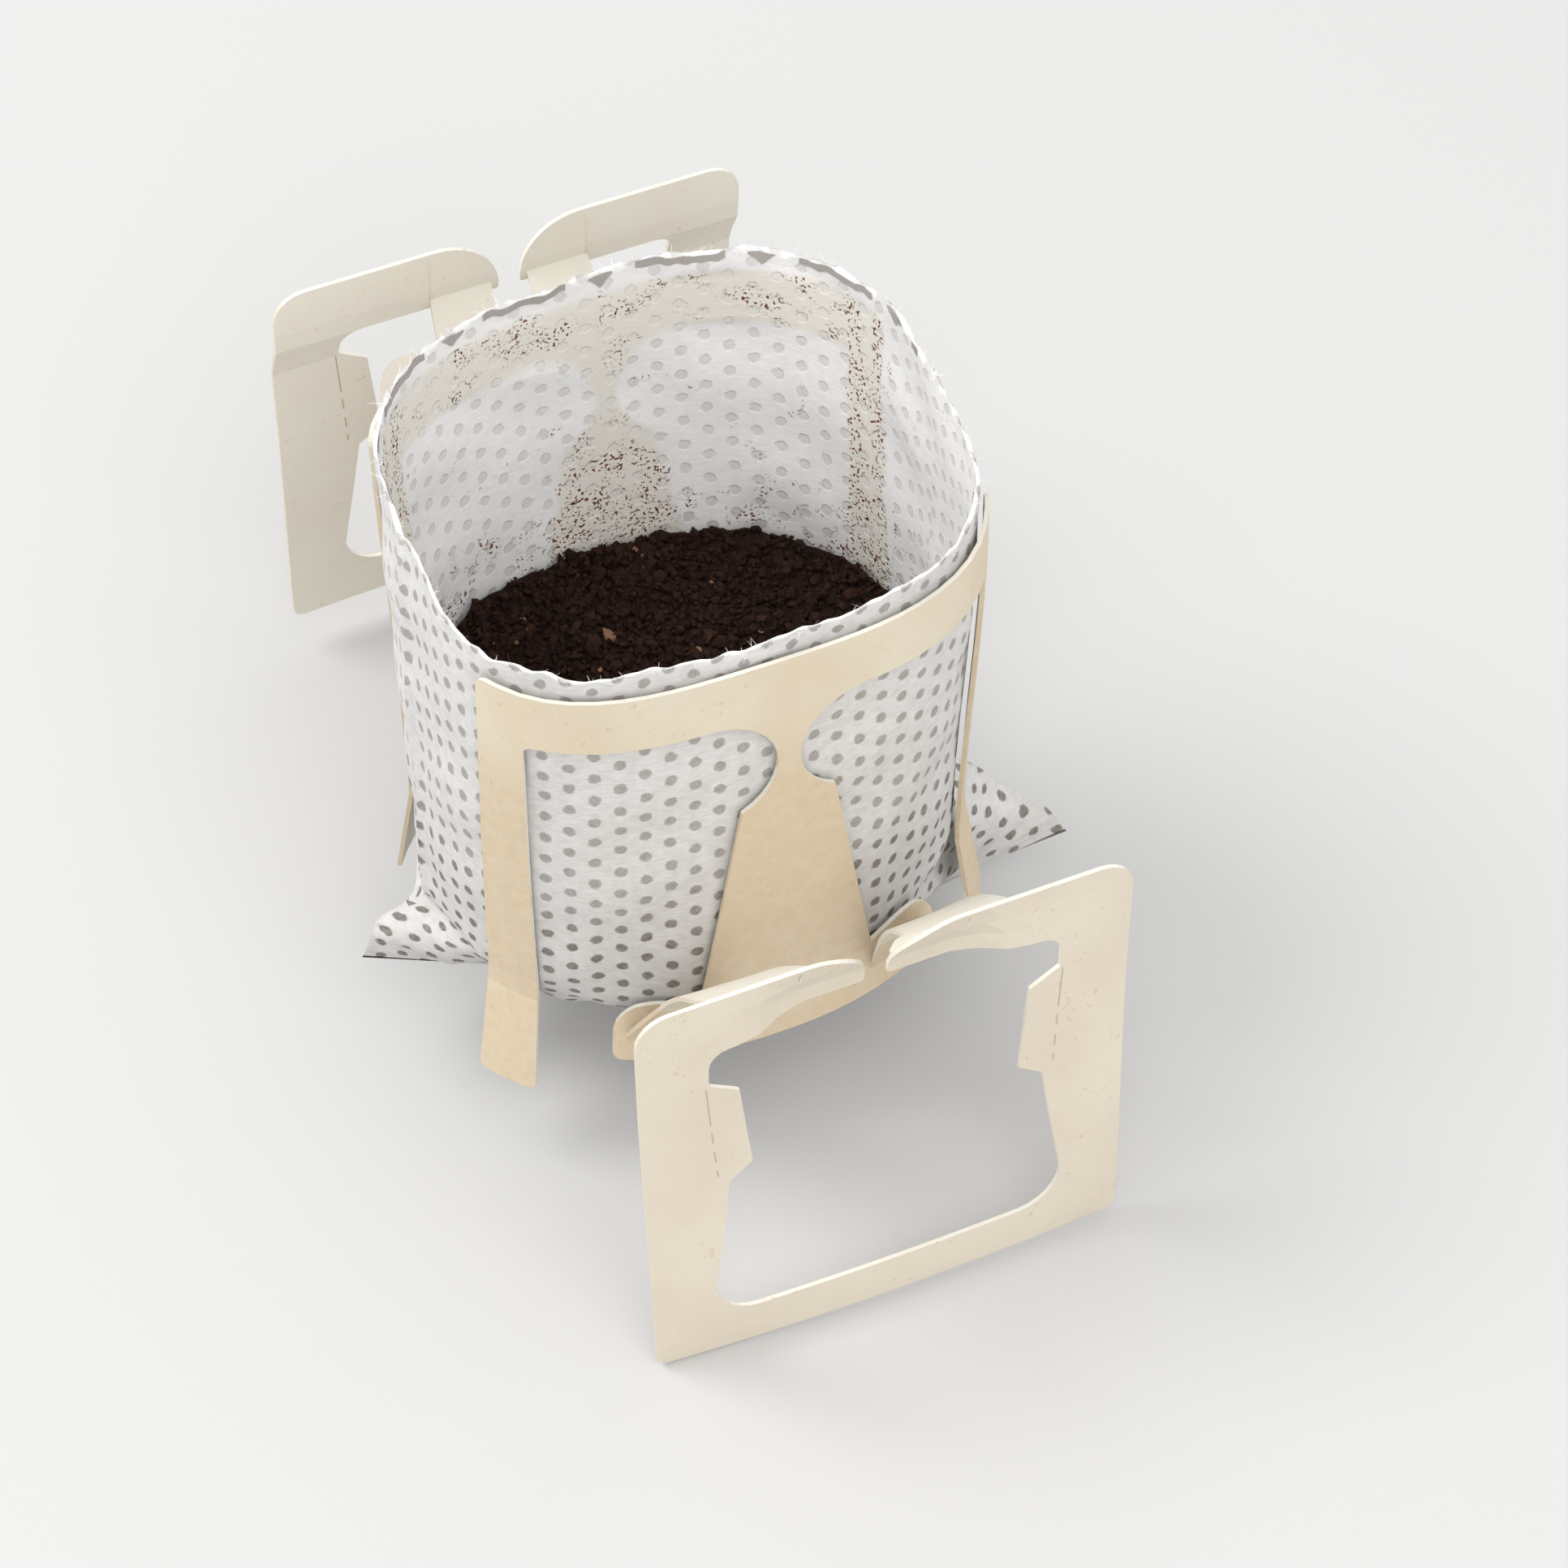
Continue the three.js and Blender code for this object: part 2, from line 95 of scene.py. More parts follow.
def curve(rows, t):
    """Cubic interpolation of the rows, flat outside them."""
    keys = [r[0] for r in rows]
    vals = [r[1] for r in rows]
    last = len(rows) - 1
    if t <= keys[0]:
        return vals[0]
    if t >= keys[last]:
        return vals[last]
    i = 0
    while t > keys[i + 1]:
        i += 1

    def slope(k):
        return (vals[k + 1] - vals[k - 1]) / (keys[k + 1] - keys[k - 1])

    h = keys[i + 1] - keys[i]
    u = (t - keys[i]) / h
    chord = vals[i + 1] - vals[i]
    ma = chord if i == 0 else slope(i) * h
    mb = chord if i + 1 == last else slope(i + 1) * h
    start = (2 * u**3 - 3 * u**2 + 1) * vals[i] + (u**3 - 2 * u**2 + u) * ma
    return start + (3 * u**2 - 2 * u**3) * vals[i + 1] + (u**3 - u**2) * mb


def ring(w, inset, angle):
    """Points of the bag's section at w, moved inwards by inset, for an array of angles."""
    a = curve(HALF_WIDTH, w) - inset
    front = curve(FRONT_Y, w) + inset
    back = curve(BACK_Y, w) - inset
    c, n = np.cos(angle), np.sin(angle)
    mid, d = (front + back) / 2, (back - front) / 2
    p = np.where(n < 0, curve(FRONT_SQUARE, w), curve(BACK_SQUARE, w))
    r = 1 / ((abs(c) / a) ** p + (abs(n) / d) ** p) ** (1 / p)
    x = r * c
    reach = (abs(x) / a) ** 2.5
    turn = curve(TURN, w)
    y = mid + r * n + turn * x
    z = TORN_Z + curve(DROP, w) + curve(CORNER_LIFT, w) * reach + 0.6 * turn * x
    return np.stack([x + curve(SLIDE, w) + curve(SHEAR, w) * (y + 3), y, z], axis=1)


def smooth(a, b, t):
    """0 at a and 1 at b, with a soft start and end."""
    u = np.clip((t - a) / (b - a), 0, 1)
    return u * u * (3 - 2 * u)


def waves(seed, u, v, lengths, count=5):
    """Sum of slanted sine waves of the given lengths, about -1 to 1."""
    g = np.random.default_rng(seed)
    total = 0
    for _ in range(count):
        length = g.uniform(*lengths)
        a = g.uniform(0, math.pi)
        along = (u * math.cos(a) + v * math.sin(a)) * 2 * math.pi / length
        total = total + np.sin(along + g.uniform(0, 6.28))
    return total / count**0.5


def make_object(name, verts, faces, materials, smooth_shading=True):
    """A mesh object from points in millimetres."""
    mesh = bpy.data.meshes.new(name)
    mesh.from_pydata((np.asarray(verts) * 0.001).tolist(), [], [list(f) for f in faces])
    mesh.polygons.foreach_set("use_smooth", [smooth_shading] * len(mesh.polygons))
    for m in materials:
        mesh.materials.append(m)
    mesh.update()
    obj = bpy.data.objects.new(name, mesh)
    scene.collection.objects.link(obj)
    return obj


# Materials
class Nodes:
    """Short helpers for building a material's node tree."""

    def __init__(self, name, rough):
        self.mat = bpy.data.materials.new(name)
        self.mat.use_nodes = True
        self.tree = self.mat.node_tree
        self.bsdf = self.tree.nodes["Principled BSDF"]
        self.bsdf.inputs["Roughness"].default_value = rough
        self.bsdf.inputs["Specular IOR Level"].default_value = 0.25

    def put(self, socket, value):
        if isinstance(value, bpy.types.NodeSocket):
            self.tree.links.new(value, socket)
        else:
            socket.default_value = value

    def math(self, op, a, b=0.0, clamp=False):
        n = self.tree.nodes.new("ShaderNodeMath")
        n.operation = op
        n.use_clamp = clamp
        self.put(n.inputs[0], a)
        self.put(n.inputs[1], b)
        return n.outputs[0]

    def step(self, value, low, high):
        """0 where the value is low and 1 where it is high, with soft ends."""
        n = self.tree.nodes.new("ShaderNodeMapRange")
        n.interpolation_type = "SMOOTHSTEP"
        self.put(n.inputs["Value"], value)
        n.inputs["From Min"].default_value = low
        n.inputs["From Max"].default_value = high
        return n.outputs["Result"]

    def attribute(self, name):
        n = self.tree.nodes.new("ShaderNodeAttribute")
        n.attribute_name = name
        return n

    def object_place(self):
        return self.tree.nodes.new("ShaderNodeTexCoord").outputs["Object"]

    def noise(self, scale, detail, coords=None):
        n = self.tree.nodes.new("ShaderNodeTexNoise")
        n.inputs["Scale"].default_value = scale
        n.inputs["Detail"].default_value = detail
        if coords is None:
            coords = self.object_place()
        self.tree.links.new(coords, n.inputs["Vector"])
        return n.outputs["Fac"]

    def mix(self, fac, a, b):
        n = self.tree.nodes.new("ShaderNodeMix")
        n.data_type = "RGBA"
        self.put(n.inputs[0], fac)
        self.put(n.inputs[6], a)
        self.put(n.inputs[7], b)
        return n.outputs[2]

    def bump(self, height, strength, distance):
        n = self.tree.nodes.new("ShaderNodeBump")
        n.inputs["Strength"].default_value = strength
        n.inputs["Distance"].default_value = distance
        self.put(n.inputs["Height"], height)
        self.put(self.bsdf.inputs["Normal"], n.outputs["Normal"])


def fabric_material():
    """White nonwoven cloth with bond dots; attribute cloth is the place on the cloth in millimetres.

    Attribute look holds how dark the dots are, from the coffee showing through them and from painted shade
    of the bag's hollow behind the outer skin, how much card shows through, and the coffee dust;
    its alpha is 1 on the inner skin, whose cloth is painted brighter for light shining through.
    """
    m = Nodes("nonwoven", 0.85)
    uv = m.attribute("cloth")
    split = m.tree.nodes.new("ShaderNodeSeparateXYZ")
    m.tree.links.new(uv.outputs["Vector"], split.inputs[0])
    across, down = split.outputs[0], split.outputs[1]

    def dots(shift):
        fx = m.math("FRACT", m.math("ADD", m.math("DIVIDE", across, DOT_ACROSS), 100 + shift))
        fy = m.math("FRACT", m.math("ADD", m.math("DIVIDE", down, DOT_DOWN), 100 + shift))
        sx = m.math("MULTIPLY", m.math("SUBTRACT", fx, 0.5), DOT_ACROSS)
        sy = m.math("MULTIPLY", m.math("SUBTRACT", fy, 0.5), DOT_DOWN * 0.93)
        return m.math("SQRT", m.math("ADD", m.math("MULTIPLY", sx, sx), m.math("MULTIPLY", sy, sy)))

    near = m.math("MINIMUM", dots(0.0), dots(0.5))
    rough_edge = m.math("MULTIPLY", m.math("SUBTRACT", m.noise(1500, 2.0), 0.5), 0.5)
    dot = m.step(m.math("ADD", near, rough_edge), 0.74, 0.48)
    look = m.attribute("look")
    parts = m.tree.nodes.new("ShaderNodeSeparateColor")
    m.tree.links.new(look.outputs["Color"], parts.inputs[0])
    behind, card, speck = parts.outputs[0], parts.outputs[1], parts.outputs[2]
    fibre = m.noise(900, 4.0)
    lay = m.tree.nodes.new("ShaderNodeCombineXYZ")
    m.put(lay.inputs[0], m.math("MULTIPLY", across, 0.7))
    m.put(lay.inputs[1], m.math("MULTIPLY", down, 3.6))
    streak = m.noise(1.0, 5.0, lay.outputs[0])
    fibre = m.math("ADD", m.math("MULTIPLY", fibre, 0.45), m.math("MULTIPLY", streak, 0.55))
    # Painted light: both skins are one white cloth, but the inner skin's is painted brighter than the
    # outer's, standing in for light shining through the cloth into the bag.
    outside = m.mix(m.step(fibre, 0.3, 0.7), (0.68, 0.675, 0.665, 1), (0.85, 0.845, 0.84, 1))
    inside = m.mix(m.step(fibre, 0.3, 0.7), (0.90, 0.90, 0.90, 1), (0.99, 0.985, 0.98, 1))
    cloth = m.mix(look.outputs["Alpha"], outside, inside)
    # Darkens the cloth a little with the first channel: partly the coffee behind it, partly painted shade of
    # the hollow behind the outer skin.
    cloth = m.mix(m.math("MULTIPLY", behind, 0.22), cloth, (0.50, 0.46, 0.42, 1))
    cloth = m.mix(m.math("MULTIPLY", card, 0.75), cloth, (0.885, 0.84, 0.755, 1))
    # The dots run from pale to dark with the first channel: partly the coffee showing through them, partly
    # painted shade of the hollow behind the outer skin.
    pale = m.mix(m.noise(700, 1.0), (0.78, 0.77, 0.75, 1), (0.88, 0.87, 0.85, 1))
    dark = m.mix(m.noise(1900, 2.0), (0.10, 0.085, 0.075, 1), (0.42, 0.39, 0.36, 1))
    spot = m.mix(behind, pale, dark)
    hide = m.math("MULTIPLY", dot, m.math("SUBTRACT", 1.0, m.math("MULTIPLY", card, 0.8)))
    colour = m.mix(hide, cloth, spot)
    grain = m.step(m.noise(2800, 1.0), 0.585, 0.62)
    clump = m.math("ADD", m.noise(330, 2.0), m.math("MULTIPLY", speck, 0.55))
    dust = m.math("MULTIPLY", grain, m.step(clump, 0.66, 0.84), clamp=True)
    dust = m.math("MULTIPLY", dust, look.outputs["Alpha"])
    colour = m.mix(dust, colour, (0.17, 0.05, 0.02, 1))
    m.put(m.bsdf.inputs["Base Color"], colour)
    height = m.math("SUBTRACT", m.math("MULTIPLY", fibre, 0.5), m.math("MULTIPLY", dot, 0.6))
    m.bump(height, 0.55, 0.00025)
    thin = m.tree.nodes.new("ShaderNodeBsdfTranslucent")
    m.put(thin.inputs["Color"], colour)
    both = m.tree.nodes.new("ShaderNodeMixShader")
    both.inputs[0].default_value = 0.15
    m.tree.links.new(m.bsdf.outputs[0], both.inputs[1])
    m.tree.links.new(thin.outputs[0], both.inputs[2])
    m.tree.links.new(both.outputs[0], m.tree.nodes["Material Output"].inputs["Surface"])
    return m.mat


def card_material(name, light, dark, fleck, low=None):
    """Card with clouds of light and dark, flecks, and, where one is given, a warmer tone low down that is
    painted shade and warm bounce light.
    """
    m = Nodes(name, 0.8)
    cloud = m.noise(70, 4.0)
    fine = m.noise(900, 3.0)
    colour = m.mix(m.step(cloud, 0.35, 0.7), light, dark)
    colour = m.mix(m.math("MULTIPLY", fine, 0.25), colour, fleck)
    # Painted shade: where a low colour is given, the card turns to it between 22 mm and 8 mm height, standing
    # in for shade and warm bounce light low down.
    if low:
        height = m.tree.nodes.new("ShaderNodeSeparateXYZ")
        m.tree.links.new(m.object_place(), height.inputs[0])
        colour = m.mix(m.step(height.outputs[2], 0.022, 0.008), colour, m.mix(fine, low, dark))
    spots, patches = m.step(m.noise(1500, 1.0), 0.66, 0.72), m.step(m.noise(240, 1.0), 0.5, 0.6)
    speck = m.math("MULTIPLY", spots, patches)
    colour = m.mix(m.math("MULTIPLY", speck, 0.35), colour, (0.50, 0.36, 0.22, 1))
    m.put(m.bsdf.inputs["Base Color"], colour)
    m.bump(m.math("ADD", fine, m.noise(200, 3.0)), 0.15, 0.0002)
    return m.mat


def plain_material(name, colour, rough):
    m = Nodes(name, rough)
    m.bsdf.inputs["Base Color"].default_value = colour
    return m.mat


def coffee_material():
    m = Nodes("coffee", 0.7)
    m.bsdf.inputs["Specular IOR Level"].default_value = 0.12
    tone = m.attribute("tone")
    colour = m.mix(tone.outputs["Fac"], (0.009, 0.0038, 0.0026, 1), (0.038, 0.0155, 0.009, 1))
    chaff = m.step(tone.outputs["Fac"], 0.93, 0.95)
    colour = m.mix(chaff, colour, (0.20, 0.11, 0.065, 1))
    m.put(m.bsdf.inputs["Base Color"], colour)
    m.bump(m.noise(2500, 3.0), 0.6, 0.0002)
    return m.mat


FABRIC_MAT = fabric_material()
KRAFT = card_material("kraft", (0.71, 0.65, 0.54, 1), (0.67, 0.60, 0.49, 1), (0.60, 0.52, 0.40, 1))
# The glued panel's card is the same kraft; its warmer, darker tones and warmer low end are painted shade and
# warm bounce light.
GLUED_SHADED = card_material(
    "kraft_glued_painted_shade", (0.72, 0.66, 0.54, 1), (0.68, 0.59, 0.45, 1), (0.60, 0.50, 0.36, 1),
    low=(0.60, 0.47, 0.31, 1))
PALE = card_material(
    "card_inner", (0.76, 0.73, 0.65, 1), (0.73, 0.69, 0.61, 1), (0.69, 0.64, 0.55, 1))
EDGE = plain_material("card_edge", (0.92, 0.87, 0.77, 1), 0.9)
# Painted shade: the perforation slits' dark colour stands for the shade inside the cuts.
CUT_SHADE = plain_material("card_cut_painted_shade", (0.50, 0.41, 0.30, 1), 0.9)
CREASE = plain_material("card_crease", (0.74, 0.68, 0.57, 1), 0.9)
COFFEE_MAT = coffee_material()
FIBRE = plain_material("fibre", (0.88, 0.88, 0.87, 1), 0.9)
PRINT = plain_material("grey_print", (0.40, 0.37, 0.35, 1), 0.9)
CARD_MATERIALS = [KRAFT, PALE, EDGE, CUT_SHADE, CREASE, GLUED_SHADED]
GLUED_REACH = 0.0335  # metres from the middle plane out to the panel's farthest face


# The bag
def panel_mask(across, z):
    """1 where the glued card lies behind the fabric, from the card's own outline."""
    a = np.abs(across)
    band = smooth(CARD_TOP + 0.3, CARD_TOP - 0.2, z) * smooth(BAND_LOW - 0.2, BAND_LOW + 0.2, z)
    strip = smooth(STRIP_IN - 0.2, STRIP_IN + 0.2, a) * smooth(STRIP_OUT + 0.2, STRIP_OUT - 0.2, a)
    strip = strip * (z < CARD_TOP) * smooth(STRIP_LOW - 0.2, STRIP_LOW + 0.2, z)
    lobe_z, lobe_r, neck_half = 12.1, 6.9, 1.2
    notch = np.sqrt(np.clip(lobe_r**2 - (z - lobe_z) ** 2, 0, None))
    half = np.where(z > lobe_z - lobe_r, neck_half + lobe_r - notch, 0)
    trapezoid_top, trapezoid_half, trapezoid_slope = 5.5, 5, 4.4 / 27.3
    low = trapezoid_half + (trapezoid_top - z) * trapezoid_slope
    half = np.where(z < trapezoid_top, low, half)
    neck = smooth(half + 0.3, half - 0.3, a) * (z < BAND_LOW) * (z > FOOT_LOW)
    return np.clip(band * (a < STRIP_OUT) + strip + neck, 0, 1)


LEVELS = np.concatenate([np.arange(0, WALL_END, LEVEL_STEP), np.arange(WALL_END, BAG_END + 0.01, 0.5)])
ANGLES = math.pi + np.arange(AROUND) * 2 * math.pi / AROUND
HALF_AROUND = AROUND // 2
FRONT = np.arange(AROUND) < HALF_AROUND


def run_along(points):
    """Length along the points, from the first one."""
    return np.concatenate([[0], np.cumsum(np.linalg.norm(np.diff(points, axis=0), axis=1))])


def outward(points):
    """Level unit vectors that point out of a closed row of points."""
    along = points - np.roll(points, 1, axis=0)
    out = np.stack([along[:, 1], -along[:, 0], np.zeros(len(points))], axis=1)
    return out / np.linalg.norm(out, axis=1)[:, None]


def line_share(distance, half):
    """1 on a soft line and 0 away from it."""
    return np.exp(-((distance / half) ** 2))


def dust_share(w, z, beside, card):
    """Coffee dust: on the glued card, most along its strips' and glue patch's edges, and above the coffee."""
    strip_edges = line_share(beside - STRIP_IN - 1, 0.8) + line_share(beside - STRIP_OUT + 0.6, 0.8)
    patch_edges = line_share(beside - PATCH_HALF, 0.8) * (z < PATCH_TOP + 0.5)
    patch_edges += line_share(z - PATCH_TOP, 0.9) * (beside < PATCH_HALF + 0.7)
    near_coffee = 0.36 * smooth(12, 1, COFFEE_TOP - w)
    dust = card * (0.22 + 0.75 * strip_edges + 0.7 * patch_edges) + near_coffee + 0.1
    return np.clip(dust, 0, 1) * smooth(0, 2.5, w)


def wall_row(w, outer):
    """One row of the outer or inner skin: its points, its look and its places on the cloth."""
    base = ring(w, 0 if outer else FABRIC, ANGLES)
    run = run_along(base)
    front_u = run - run[HALF_AROUND // 2]
    back_u = run - run[HALF_AROUND + HALF_AROUND // 2]
    z = base[:, 2]
    beside = np.where(FRONT, front_u - PANEL_SHIFT, back_u + PANEL_SHIFT)
    card = panel_mask(beside, z)
    soft = 1 - np.clip(card * 1.2, 0, 1)
    push = 0.22 * waves(3, run, w, (9, 22)) * soft
    push += 0.12 * waves(5, run * 1.2, w * 0.5, (4, 9)) * soft * smooth(20, 45, w)
    push = np.minimum(push, 0.25) - 0.1
    push += smooth(50, 60, w) * 0.5 * waves(9, run, w * 0.6, (6, 14)) * smooth(75, 68, w)
    if outer:
        seam = np.min([np.abs(run), np.abs(run - run[HALF_AROUND]), np.abs(run - run[-1])], axis=0)
        push += 0.55 * line_share(seam, 0.55) * smooth(0, 4, w) * smooth(75, 70, w)
    row = base + outward(base) * push[:, None]
    torn = 0.3 * np.sin(ANGLES * 5 + 0.6) + 0.25 * np.sin(ANGLES * 13 + 2) + 0.5 * np.sin(ANGLES)
    torn += 0.2 * waves(21, run, 0, (1.5, 3.6)) + 0.3 * waves(23, run, 0, (5, 14))
    row[:, 2] += torn * smooth(4, 0, w)
    full = smooth(COFFEE_TOP - 4, COFFEE_TOP + 5, w + 1.5 * waves(31, run, w, (10, 30)))
    if outer:
        # How dark the dots are: the coffee behind them, and on the outer skin painted shade of the bag's
        # empty hollow, stronger on the front; the inner skin's dots stay pale.
        dots = np.where(FRONT, 0.72 + 0.28 * full, 0.5 + 0.5 * full)
        tint = dust = inside = np.zeros(AROUND)
    else:
        dots = 0.05 + 0.4 * full
        tint = card
        dust = dust_share(w, z, np.abs(beside), card)
        inside = np.ones(AROUND)
    return row, np.stack([dots, tint, dust, inside], axis=1), (front_u, back_u, w)


def wall_faces(places):
    """Quads between the rows, and each corner's place on the cloth."""
    faces, corners = [], []
    for k, ((front0, back0, w0), (front1, back1, w1)) in enumerate(zip(places, places[1:])):
        for j in range(AROUND):
            n = (j + 1) % AROUND
            faces.append((k * AROUND + j, (k + 1) * AROUND + j, (k + 1) * AROUND + n, k * AROUND + n))
            if j < HALF_AROUND:
                u0, u1, end0, end1 = front0[j], front1[j], front0[j + 1], front1[j + 1]
            elif n:
                u0, u1, end0, end1 = back0[j], back1[j], back0[n], back1[n]
            else:
                u0, u1, end0, end1 = back0[j], back1[j], back0[j] + 0.6, back1[j] + 0.6
            corners += [(u0, w0), (u1, w1), (end1, w1), (end0, w0)]
    return faces, corners


def make_bag():
    """The cloth, with the rows that the torn edge's fibres and the tear line follow."""
    outer = [wall_row(w, True) for w in LEVELS]
    inner = [wall_row(w, False) for w in LEVELS if w <= INNER_END]
    rows = inner[::-1] + outer
    verts = np.concatenate([points for points, _, _ in rows])
    colours = np.concatenate([look for _, look, _ in rows])
    faces, corners = wall_faces([places for _, _, places in rows])
    count = len(verts)
    last_row = count - AROUND
    for j in range(AROUND):
        n = (j + 1) % AROUND
        faces += [(j, n, count), (last_row + n, last_row + j, count + 1)]
    corners += [(DOT_ACROSS / 4, 0)] * (6 * AROUND)  # between the dots, so the ends have none
    verts = np.concatenate([verts, [verts[:AROUND].mean(0), verts[-AROUND:].mean(0)]])
    colours = np.concatenate([colours, colours[:1], colours[-1:]])
    obj = make_object("bag_fabric", verts, faces, [FABRIC_MAT])
    mesh = obj.data
    mesh.set_sharp_from_angle(angle=math.radians(70))
    layer = mesh.attributes.new("look", "FLOAT_COLOR", "POINT")
    layer.data.foreach_set("color", colours.ravel().astype(np.float32))
    place = mesh.attributes.new("cloth", "FLOAT_VECTOR", "CORNER")
    place.data.foreach_set("vector", np.array([(u, w, 0) for u, w in corners], np.float32).ravel())
    return obj, outer[0][0], [points for points, _, _ in inner[:5]]


def make_fibres(torn):
    """Short loose fibres that stand out of the torn edge."""
    count, half_thick, sunk = 420, 0.028, 0.25
    verts, faces = [], []
    for _ in range(count):
        j = rng.integers(AROUND)
        start = torn[j] - np.array([0, 0, sunk])
        start = start + (torn[(j + 1) % AROUND] - torn[j]) * rng.random()
        way = np.array([rng.normal(0, 0.8), rng.normal(0, 0.8), rng.uniform(0.2, 1.0)])
        way /= np.linalg.norm(way)
        side = np.cross(way, rng.normal(size=3))
        side *= half_thick / np.linalg.norm(side)
        bend = rng.normal(0, 0.25, 3)
        length = rng.uniform(0.3, 1.25)
        base = len(verts)
        for t in (0, 0.35, 0.7, 1):
            p = start + way * length * t + bend * t * t * length
            verts += [p - side * (1 - 0.6 * t), p + side * (1 - 0.6 * t)]
        for q in range(base, base + 6, 2):
            faces.append((q, q + 1, q + 3, q + 2))
    return make_object("torn_fibres", verts, faces, [FIBRE])


# The coffee
COFFEE_GAP = 0.98  # from the bag's outer skin to the coffee
GRAINS = 8600
HEAP_AROUND, HEAP_ROWS = 120, 20
HEAP_ANGLES = math.pi + np.arange(HEAP_AROUND) * 2 * math.pi / HEAP_AROUND


def heap_height(middle, x, y, share):
    """Height of the coffee's top, which has a low crown and soft lumps."""
    lumps = 0.45 * np.sin(x * 0.45 + 1) * np.cos(y * 0.38)
    lumps = lumps + 0.32 * np.sin(x * 0.95 + y * 0.4 + 2) * np.cos(y * 0.85 - x * 0.3)
    lumps = lumps + 0.3 * np.sin(x * 1.5 - y * 0.7) * np.sin(y * 1.35 + x * 0.8 + 1)
    return middle[2] + 1.5 * (1 - share**2) + lumps - 0.05 * x


def heap_body(middle):
    """The closed body under the grains: rings out over the top and down the bag's wall."""
    rim = ring(COFFEE_TOP, COFFEE_GAP, HEAP_ANGLES)
    verts, faces = [middle + [0, 0, 1.2]], []
    for share in np.linspace(0.05, 1, HEAP_ROWS):
        p = middle + (rim - middle) * share
        p[:, 2] = heap_height(middle, p[:, 0], p[:, 1], share) - 0.35
        verts += p.tolist()
    for w in (38, 44, 49, 53, 57, 61, 64.5, 67):
        verts += ring(w, COFFEE_GAP + max(0, w - 53) * 0.09, HEAP_ANGLES).tolist()
    last_row = len(verts) - HEAP_AROUND
    verts.append(np.mean(np.array(verts[last_row:]), 0))
    for j in range(HEAP_AROUND):
        n = (j + 1) % HEAP_AROUND
        faces.append((0, 1 + j, 1 + n))
        for a in range(1, last_row, HEAP_AROUND):
            b = a + HEAP_AROUND
            faces.append((a + j, b + j, b + n, a + n))
        faces.append((last_row + n, last_row + j, len(verts) - 1))
    return verts, faces


def grain_shape():
    """The 12 corners, to two digits, and 20 faces of an icosahedron of radius 1."""
    height, wide = 1 / math.sqrt(5), 2 / math.sqrt(5)
    fifth = 2 * math.pi / 5
    corners = [(0, 0, -1)]
    for z, start in ((-height, fifth / 2), (height, fifth)):
        for i in range(5):
            turn = -start - fifth * i
            corners.append((wide * math.cos(turn), wide * math.sin(turn), z))
    corners.append((0, 0, 1))
    faces = []
    for i in range(5):
        low, high = 1 + i, 6 + i
        low_next, high_next = 1 + (i + 1) % 5, 6 + (i + 1) % 5
        faces += [(0, low_next, low), (low_next, high, low)]
        faces += [(low_next, high_next, high), (high_next, 11, high)]
    return np.round(corners, 2), faces


def make_coffee():
    """The heap, with loose grains all over its top; tone is each grain's colour, and chaff is over 0.95."""
    middle = ring(COFFEE_TOP, COFFEE_GAP, HEAP_ANGLES).mean(0)
    verts, faces = heap_body(middle)
    tones = [0.15] * len(verts)
    shape, shape_faces = grain_shape()
    for _ in range(GRAINS):
        angle, share = rng.uniform(0, 2 * math.pi), math.sqrt(rng.random())
        edge = ring(COFFEE_TOP, COFFEE_GAP, np.array([angle]))[0]
        p = middle + (edge - middle) * share * 0.992
        size = float(np.clip(rng.lognormal(math.log(0.40), 0.38), 0.18, 0.95))
        p[2] = heap_height(middle, p[0], p[1], share) + rng.uniform(-0.5, 0.22) - 0.3 * size
        squash = rng.uniform(0.55, 1.15, 3)
        turn = np.array(Matrix.Rotation(rng.uniform(0, 6.28), 3, Vector(rng.normal(size=3))))
        local = shape * (1 + rng.normal(0, 0.16, (12, 1))) * squash * size
        start = len(verts)
        verts += (local @ turn.T + p).tolist()
        chaff = rng.random() < 0.006
        tone = float(rng.uniform(0.96, 1.0)) if chaff else float(rng.beta(2, 2.6) * 0.9)
        tones += [tone] * 12
        faces += [tuple(start + i for i in face) for face in shape_faces]
    obj = make_object("coffee", np.array(verts), faces, [COFFEE_MAT], smooth_shading=False)
    layer = obj.data.attributes.new("tone", "FLOAT", "POINT")
    layer.data.foreach_set("value", np.array(tones, np.float32))
    return obj


# The two card holders
FRAME_OUT, FRAME_HALF = 51.35, 26.1  # the hook frame's distance from the middle plane, and its half width
FACE_OFF = 0.245  # from the card's middle layer to just off its face


def hook_plane(side, x, z):
    """Distance of the hook frame's middle layer from the part's middle plane."""
    low = smooth(-4, -44, z)
    bow = 1 - (x / FRAME_HALF) ** 2
    if side < 0:
        near = smooth(8.5, 1, z) * smooth(-12, -5, z) * smooth(15, 8, np.abs(x))
        return FRAME_OUT + low * (1.6 + 0.9 * bow) - 2.5 * near
    return FRAME_OUT + low * (1.2 + 0.9 * bow) - 2.4 * smooth(-1, 6, z)


def hook_point(side, x, h, off):
    """A point of the hook frame, off millimetres outside its middle layer."""
    top, roll, shift = (8.2, 0.012, 0.6) if side < 0 else (12.4, 0, 1.8)
    z = top + h + roll * x
    return [x + shift, side * (float(hook_plane(side, x, z)) + off), z]


def mark_lines():
    """Lines on a hook frame: the perforated hinge of each tab, whose slits are painted dark as shade in the
    cuts, and a crease beside each ear's round end.
    """
    lines = []
    for s in (-1, 1):
        x0, h0 = s * 18.9, -13.0
        x1, h1 = s * 18.0, -26.2
        for slit in ((0.0, 0.42), (0.5, 0.62), (0.72, 0.84), (0.93, 1.0)):
            ends = [(x0 + (x1 - x0) * t, h0 + (h1 - h0) * t) for t in slit]
            lines.append((ends, 0.07, CUT_SHADE))
        lines.append(([(s * 8.8, -0.8), (s * 8.8, -7.4)], 0.10, CREASE))
    return lines


